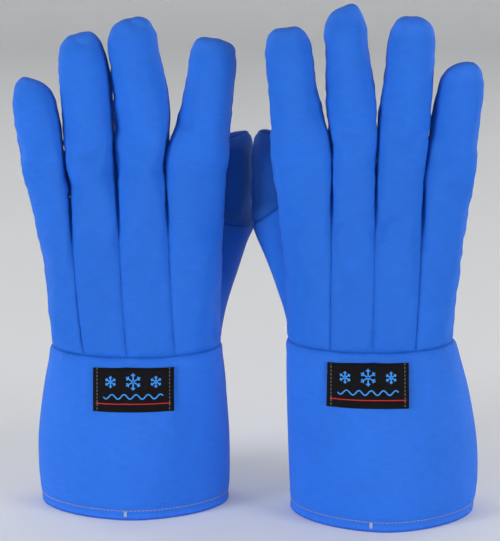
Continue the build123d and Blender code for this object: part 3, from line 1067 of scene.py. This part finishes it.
# Label, in mm from its centre
LABEL_LIFT = 0.35
LABEL_THICKNESS = 0.8
LABEL_GRID = (18, 34)  # rows and columns
LABEL_STITCH = (2.6, 2.1, 0.27)  # pitch, length, radius
SNOWFLAKES = ((0, 6.4, 6.6), (-16.5, 6.2, 4.6), (16.5, 6.2, 4.6))  # across, up, reach
WAVE = (-4.2, 1.6, 8.8, 22)  # height, swing, length of one wave, half width of the row
STRIPE_HEIGHT = -9.4
LABEL_THREAD_FLAT = 0.55  # a woven thread's height as a share of its width

# Hem and seams
HEM_COLUMNS = 180  # round the facing
ROUND_STEPS = 720  # round a glove, on the line that a row of stitches follows
HEM_STITCH = (2.9 * MM, 2.2 * MM, 0.34 * MM)  # pitch, length, radius
SEAM_STITCH = (2.6 * MM, 1.7 * MM, 0.2 * MM)  # the same
BAR_TACK = 6.0 * MM  # how far it sits to the left of the hem's centre
WRIST_STITCH_DROP = 0.6 * MM
TIP_WEAR = 0.6  # how worn a digit's tip is, where the hem is 1


def sheet(name, grid, thickness, closed=False):
    """A closed piece of fabric from a grid of points, with its thickness on the inner side."""
    rows, columns = grid.shape[:2]
    polygons, uvs = [], []
    u, v = cloth_lengths(grid)
    u = np.append(u, u[-1] + u[1])
    for r in range(rows - 1):
        for c in range(columns if closed else columns - 1):
            this, after = r * columns, (c + 1) % columns
            polygons.append([this + c, this + after, this + columns + after, this + columns + c])
            uvs += [(u[c], v[r]), (u[c + 1], v[r]), (u[c + 1], v[r + 1]), (u[c], v[r + 1])]
    base = make_piece(f"{name}_base", grid.reshape(-1, 3), polygons, uvs)
    piece = cut_layer(name, base.data, vertex_normals(base.data), [0], 0.0, thickness)
    bpy.data.objects.remove(base)
    return piece


def snowflake(u, v, reach):
    """The strokes of a snowflake: each one's start, its end and its number of points."""
    centre = np.array((u, v))
    for arm in range(6):
        angle = math.pi / 2 + arm * math.pi / 3
        tip = centre + reach * np.array((math.cos(angle), math.sin(angle)))
        yield centre, tip, 7
        knee = mix(centre, tip, 0.58)
        for turn in (-1, 1):
            bent = angle + turn * math.pi / 3.4
            yield knee, knee + 0.34 * reach * np.array((math.cos(bent), math.sin(bent))), 4


def make_label(glove, cuff_tree):
    """The label, its generic woven motif, its stripe and its two rows of stitches."""
    low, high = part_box(f"{glove.name}_label")
    centre, half = (low + high) / 2, (high - low) / 2
    rows, columns = LABEL_GRID
    grid = np.zeros((rows, columns, 3))
    for r in range(rows):
        for c in range(columns):
            u = half.x * (2 * c / (columns - 1) - 1)
            v = half.z * (2 * r / (rows - 1) - 1)
            turned_in = 0.3 * MM * smoothstep((abs(u) - half.x + 4 * MM) / (1.5 * MM))
            sag = 0.25 * MM * noise.noise(Vector((u, v, glove.side)) / (9 * MM))
            spot, normal = from_front(centre.x + u, centre.z + v, cuff_tree)
            grid[r, c] = spot + normal * float((LABEL_LIFT + LABEL_THICKNESS) * MM + turned_in + sag)
    label = sheet(f"{glove.name}_label_cloth", grid, LABEL_THICKNESS)
    complete(label, glove, "cuff", "woven_label", "label")
    tree = tree_of(label.data)

    def on_label(u, v):
        spot, normal = from_front(centre.x + u * MM, centre.z + v * MM, tree, cuff_tree)
        return spot + normal * (0.05 * MM), normal

    def line(start, end, count):
        start, end = np.array(start), np.array(end)
        return [on_label(*mix(start, end, i / (count - 1))) for i in range(count)]

    motif = [line(*stroke) for flake in SNOWFLAKES for stroke in snowflake(*flake)]
    height, swing, pitch, end = WAVE
    places = np.linspace(-end, end, 89)
    motif.append([on_label(x, height + swing * math.sin(x * 2 * math.pi / pitch)) for x in places])
    width = half.x / MM - 0.8
    stripe = [line((-width, STRIPE_HEIGHT), (width, STRIPE_HEIGHT), 40)]

    low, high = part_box(f"{glove.name}_label_stitching")
    inset = (high.x - low.x) / 2 / MM - 0.3
    pitch, length, stitch_radius = LABEL_STITCH
    tall = half.z / MM + 1.6
    stitches = []
    for side in (-1, 1):
        for k in range(int(2 * tall / pitch)):
            v = -tall + pitch * (k + 0.5)
            stitches.append(line((side * inset, v - length / 2), (side * inset, v + length / 2), 5))
    for name, lines, radius, material, *nodes in (
        ("label_motif", motif, 0.5, "label_motif"),
        ("label_stripe", stripe, 0.4, "label_stripe"),
        ("label_stitches", stitches, stitch_radius, "label_thread", "label_stitching"),
    ):
        piece = strokes(f"{glove.name}_{name}", lines, radius * MM, LABEL_THREAD_FLAT)
        complete(piece, glove, "cuff", material, *nodes)


def ring_round(glove, tree, height, count):
    """A closed line of points round the glove's outside, at a height above the table."""
    centre = Vector((glove.wrist.x, glove.wrist.y, height))
    turns = [2 * math.pi * k / count for k in range(count + 1)]
    return np.array([tree.ray_cast(centre, Vector((math.cos(t), math.sin(t), 0)))[0] for t in turns])


def make_hem(glove, mesh, tree):
    """The rolled edge and the facing inside it, the topstitching and the bar tack."""
    count = HEM_COLUMNS
    edge = min(v.co.z for v in mesh.vertices)
    ring = ring_round(glove, tree, edge + 0.3 * MM, count)[:-1]
    inward = np.array((glove.wrist.x, glove.wrist.y, 0)) - ring * (1, 1, 0)
    tangent = np.roll(ring, -1, axis=0) - np.roll(ring, 1, axis=0)
    normal = unit(np.stack((tangent[:, 1], -tangent[:, 0], np.zeros(count)), axis=1))
    normal *= np.sign((normal * inward).sum(1, keepdims=True))
    inset = FACING_INSET
    # Steps inwards and heights, from the outer edge round below the layers and up the inside
    profile = ((0.0, 1.7), (0.1, 0.8), (0.7, 0.15), (1.8, 0.0), (inset - 2.2, 0.0), (inset - 0.8, 0.5),
               (inset, 2.0), (inset + 0.2, 7.0), (inset + 0.2, 14.0), (inset, FACING_HEIGHT))
    grid = np.zeros((len(profile), count, 3))
    for r, (step, z) in enumerate(profile):
        grid[r] = ring + normal * step * MM
        grid[r][:, 2] = z * MM
    facing = sheet(f"{glove.name}_hem_roll", grid[::-1], 0.8, closed=True)
    complete(facing, glove, "gauntlet", "facing_fabric", "hem_facing")
    line = ring_round(glove, tree, HEM_STITCH_HEIGHT * MM, ROUND_STEPS)
    stitches = stitch_row(f"{glove.name}_hem_topstitch", line, tree, *HEM_STITCH)
    complete(stitches, glove, "gauntlet", "hem_thread", "hem_stitching")
    centre = ring.mean(0)[0] - BAR_TACK
    bars = []
    for k in range(5):
        found = [from_front(centre + (k - 2) * 0.42 * MM, z * MM, tree) for z in np.linspace(2.8, 7.2, 8)]
        bars.append([(spot + normal * 0.15 * MM, normal) for spot, normal in found])
    complete(strokes(f"{glove.name}_bar_tack", bars, 0.26 * MM), glove, "gauntlet", "tack_thread")


def make_seam_stitches(glove, tree):
    """Fine stitches along the wrist seam and up the three seams on the back."""
    lines = {"wrist_topstitch": []}
    for point in ring_round(glove, tree, glove.wrist.z, ROUND_STEPS):
        below = glove.seam_sag(glove.local(point)[0]) + WRIST_STITCH_DROP
        start = glove.wrist - Vector((0, 0, below))
        lines["wrist_topstitch"].append(tree.ray_cast(start, Vector(point) - glove.wrist)[0])
    for number in (1, 2, 3):
        seam = [glove.seam_line(number, t) for t in np.linspace(0.03, 0.72, 60)]
        places = [glove.world(a, 0, h) for a, h in seam]
        lines[f"back_seam_{number}"] = [from_front(x, z, tree)[0] for x, _, z in places]
    for name, line in lines.items():
        piece = stitch_row(f"{glove.name}_{name}", line, tree, *SEAM_STITCH, lift=0.0)
        complete(piece, glove, "hand", "seam_thread")


# ---- One whole glove ----


def lay_out_hand(glove):
    """The cuff, the palm and the eight finger panels, welded into one cloth."""
    cloth = Cloth(glove)
    wrist_ring = []
    for facing, order in ((-1, range(4)), (1, range(3, -1, -1))):
        for strip in order:
            hand, tube = strip_grid(glove, strip, facing)
            if facing < 0:
                cloth.add(f"back_{FINGERS[strip]}", hand + tube[1:])
            else:
                cloth.add("palm", hand)
                cloth.add(f"front_{FINGERS[strip]}", tube)
            a, f, _ = hand[0]
            step = 1 if facing < 0 else -1
            wrist_ring += list(zip(a[::step], f[::step]))[:-1]
    ring = np.array(wrist_ring + wrist_ring[:1]).T
    cloth.add("cuff", cuff_grid(glove, ring))
    cloth.weld()
    return cloth


def press_fingers(glove, obj, names):
    """Flattens neighbouring fingers against each other where they would overlap."""
    co = coordinates(obj.data)
    local = np.array([glove.local(p) for p in co])
    owner = np.full(len(co), -1)
    for face in obj.data.polygons:
        kind, _, finger = names[face.material_index].partition("_")
        if kind in ("back", "front"):
            owner[list(face.vertices)] = FINGERS.index(finger)
    for number in range(3):
        start, slope = press_line(glove, number)
        above = local[:, 2] - start[1]
        line = start[0] + slope * above + FINGER_LAP * np.clip(local[:, 1], -12 * MM, 12 * MM)
        for strip, sign in ((number, 1), (number + 1, -1)):
            room = sign * (local[:, 0] - line) - FINGER_GAP * MM
            pressed = (owner == strip) & (above > 0.5 * MM) & (room < 0)
            local[:, 0] -= sign * np.where(pressed, room * smoothstep(above / (4 * MM)), 0)
    co[:, 0] = glove.wrist.x + glove.side * local[:, 0]
    set_coordinates(obj.data, co)


def real_seam_test(names):
    """The palm runs on into the fingers' fronts, so there is no seam between those."""

    def test(panels):
        kinds = {names[p].split("_")[0] for p in panels}
        return kinds != {"palm", "front"} and kinds != {"palm"}

    return test


def inflate_hand(glove, obj, seams):
    """The hem and the wrist seam are held, and the rest of the cuff moves little."""
    co = coordinates(obj.data)
    height = co[:, 2] - glove.wrist.z
    pinned = np.where(height < 0, 0.3, 0.0)
    pinned[np.abs(height) < 1 * MM] = 0.9
    pinned[co[:, 2] < 12 * MM] = 1.0
    inflate(obj, pinned, seams, 0.35)


def make_layers(glove, mesh, inner, groups, tree):
    """The padding and the liner, each in one piece per group of panels."""
    normals = vertex_normals(mesh)
    for kind, (top, bottom, material, word, cuff_word) in LAYERS.items():
        for part, panels in groups.items():
            name = f"{glove.name}_{part}_{kind}"
            piece = cut_layer(name, mesh, normals, panels, top, bottom, places=inner)
            if part == "cuff":
                complete(piece, glove, "cuff", material, f"cuff_{cuff_word}")
                continue
            keep_inside(piece, tree, top, bottom)
            body = "hand" if part == "palm" else part
            complete(piece, glove, body, material, f"{body}_{word}")


def make_hand(glove, seed):
    """The cuff, the hand and the fingers: one cloth, cut into its panels, and all that is on it."""
    cloth = lay_out_hand(glove)
    names = cloth.names
    obj = cloth.to_object(f"{glove.name}_cloth")
    is_seam = real_seam_test(names)
    seams = seam_vertices(obj.data, is_seam)
    inflate_hand(glove, obj, seams)
    press_fingers(glove, obj, names)
    add_folds(obj.data, seams, seed)
    coarse = smoothed(obj)
    mesh = obj.data
    crotches = [glove.world(a * MM, 0, h * MM) for a, h in CROTCHES[glove.name]]
    above = [place + (0, 0, 8 * MM) for place in crotches]
    add_seams(mesh, seam_vertices(mesh, is_seam), seed, above)
    add_creases(glove, mesh)
    from_stitches = (coordinates(mesh)[:, 2] - HEM_STITCH_HEIGHT * MM) / (1.5 * MM)
    displace(mesh, -0.5 * MM * np.exp(-(from_stitches**2)))
    normals = vertex_normals(mesh)
    joined = seam_vertices(mesh, lambda panels: not is_seam(panels))
    tree = tree_of(mesh)
    number = {name: i for i, name in enumerate(names)}
    groups = {finger: (number[f"back_{finger}"], number[f"front_{finger}"]) for finger in FINGERS}
    groups |= {"palm": (number["palm"],), "cuff": (number["cuff"],)}
    make_layers(glove, coarse, sunk_for_lining(coarse, seams, crotches), groups, tree)
    for name in names:
        kind, _, finger = name.partition("_")
        keep = joined if kind in ("palm", "front") else ()
        piece = cut_layer(f"{glove.name}_{name}_panel", mesh, normals, (number[name],), keep_normals=keep)
        if kind == "cuff":
            wear_marks(piece, 5 * MM, -4 * MM)
            complete(piece, glove, "cuff", "shell_fabric", "cuff_shell")
        elif kind == "palm":
            complete(piece, glove, "hand", "hand_fabric", "palm_panel")
        else:
            wear_marks(piece, glove.tip_height(finger) - 14 * MM, 12 * MM, TIP_WEAR)
            nodes = [f"{finger}_shell"] + [f"back_panel_{finger}"] * (kind == "back")
            complete(piece, glove, finger, "hand_fabric", *nodes)
    make_label(glove, tree)
    make_hem(glove, mesh, tree)
    make_seam_stitches(glove, tree)
    bpy.data.objects.remove(obj)


def make_thumb(glove, seed):
    """The gusset and the thumb: one cloth, cut into its panels, and the stitches on it."""
    gusset, tube = thumb_grid(glove)
    half = THUMB_COLUMNS // 2
    cloth = Cloth(glove)
    cloth.add("gusset", gusset)
    cloth.add("thumb_front", [tuple(x[: half + 1] for x in row) for row in tube])
    cloth.add("thumb_back", [tuple(x[half:] for x in row) for row in tube])
    cloth.weld()
    obj = cloth.to_object(f"{glove.name}_thumb_cloth")
    seams = seam_vertices(obj.data)
    foot = glove.wrist.z + GUSSET_FOOT[2] * MM
    inflate(obj, np.where(coordinates(obj.data)[:, 2] < foot + 22 * MM, 1.0, 0.25), seams, 0.3)
    add_folds(obj.data, seams, seed)
    coarse = smoothed(obj)
    mesh = obj.data
    inner = sunk_for_lining(coarse, seams)
    add_seams(mesh, seam_vertices(mesh), seed)
    tree = tree_of(mesh)
    make_layers(glove, coarse, inner, {"thumb": (0, 1, 2)}, tree)
    normals = vertex_normals(mesh)
    for number, name in enumerate(cloth.names):
        piece = cut_layer(f"{glove.name}_{name}_panel", mesh, normals, (number,))
        if name == "gusset":
            complete(piece, glove, "thumb", "hand_fabric", "thumb_gusset")
        else:
            wear_marks(piece, glove.tip_height("thumb") - 12 * MM, 10 * MM, TIP_WEAR)
            # The thumb's panels take the darker copy of the nylon, which is painted shade.
            complete(piece, glove, "thumb", "thumb_fabric", "thumb_shell")
    stitch_thumb(glove, tube, tree)
    bpy.data.objects.remove(obj)


def stitch_thumb(glove, tube, tree):
    """A row of stitches up the thumb's seam, over its tip and down the other side. The stitches are real;
    their pale thread paints the highlight along that seam.
    """
    start = glove.roots["thumb"][2] + 0.55 * glove.lengths["thumb"]
    upper = [row for row in tube if row[2].max() > start]
    line = [[axis[THUMB_COLUMNS // 2] for axis in row] for row in upper]
    line += [[axis[0] for axis in row] for row in reversed(upper)]
    places = [tree.find_nearest(Vector(glove.world(a, f - 0.8 * MM, h)))[0] for a, f, h in line]
    name = f"{glove.name}_thumb_topstitch"
    stitches = stitch_row(name, places, tree, *SEAM_STITCH, lift=0.05 * MM)
    complete(stitches, glove, "thumb", "thumb_thread", rigid=True)


# ---- Stage ----

CAMERA_TARGET = Vector((1.5, 1.4, 178.3)) * MM
CAMERA_DISTANCE = 1500 * MM
CAMERA_ELEVATION = 12.5
CAMERA_LENS = 135.8


def make_stage():
    """A pale round floor that curves up into a backdrop, a soft studio light and the camera."""
    profile = [(r, 0.0) for r in (0.0, 0.4, 0.9, 1.6, 2.4, 3.2)]
    profile += [(3.2 + 1.2 * math.sin(a), 1.2 - 1.2 * math.cos(a)) for a in np.linspace(0.1, 1.5, 12)]
    profile.append((4.45, 2.6))
    columns = 72
    turns = [2 * math.pi * k / columns for k in range(columns)]
    verts = [(r * math.cos(t), r * math.sin(t), z) for r, z in profile for t in turns]
    polygons = []
    for r in range(len(profile) - 1):
        for c in range(columns):
            this, after = r * columns, (c + 1) % columns
            polygons.append([this + c, this + after, this + columns + after, this + columns + c])
    floor = make_piece("studio_floor", verts, polygons)
    shader = Shader("studio_paper")
    tint = shader.mix(shader.noise(0.4), (0.91, 0.915, 0.92, 1), (0.94, 0.945, 0.95, 1))
    grain = shader.bump(shader.noise(0.01), 0.05, 0.1 * MM)
    floor.data.materials.append(shader.finish(tint, 0.9, grain))

    world = bpy.data.worlds.new("studio")
    world.use_nodes = True
    background = world.node_tree.nodes["Background"]
    background.inputs["Color"].default_value = (0.95, 0.97, 1.0, 1)
    background.inputs["Strength"].default_value = 0.27
    bpy.context.scene.world = world

    for name, place, size, power in (
        ("key", (-1.9, -1.2, 0.4), 0.8, 39),
        ("fill", (1.95, -1.2, 0.4), 1.0, 37),
        ("top", (0.0, 0.5, 2.0), 1.3, 5),
        ("front", (0.0, -1.7, 0.12), 0.3, 1.6),
        ("back_left", (-2.2, 1.8, 0.9), 1.2, 13),
        ("back_right", (2.2, 1.8, 0.9), 1.2, 13),
    ):
        light = bpy.data.lights.new(name, "AREA")
        light.size = size
        light.energy = power
        lamp = add_object(name, light)
        lamp.location = place
        lamp.rotation_euler = (CAMERA_TARGET - lamp.location).to_track_quat("-Z", "Y").to_euler()
        lamp.visible_camera = False

    camera = bpy.data.cameras.new("camera")
    camera.sensor_width = 36
    camera.lens = CAMERA_LENS
    viewer = add_object("camera", camera)
    elevation = math.radians(CAMERA_ELEVATION)
    back = Vector((0, -math.cos(elevation), math.sin(elevation)))
    viewer.location = CAMERA_TARGET + back * CAMERA_DISTANCE
    viewer.rotation_euler = (-back).to_track_quat("-Z", "Y").to_euler()
    bpy.context.scene.camera = viewer
    bpy.context.scene.view_settings.view_transform = "Standard"


for seed, glove_name in enumerate(("left", "right")):
    one = Glove(glove_name)
    make_hand(one, 11.3 + 7.7 * seed)
    make_thumb(one, 3.1 + 5.3 * seed)
make_stage()
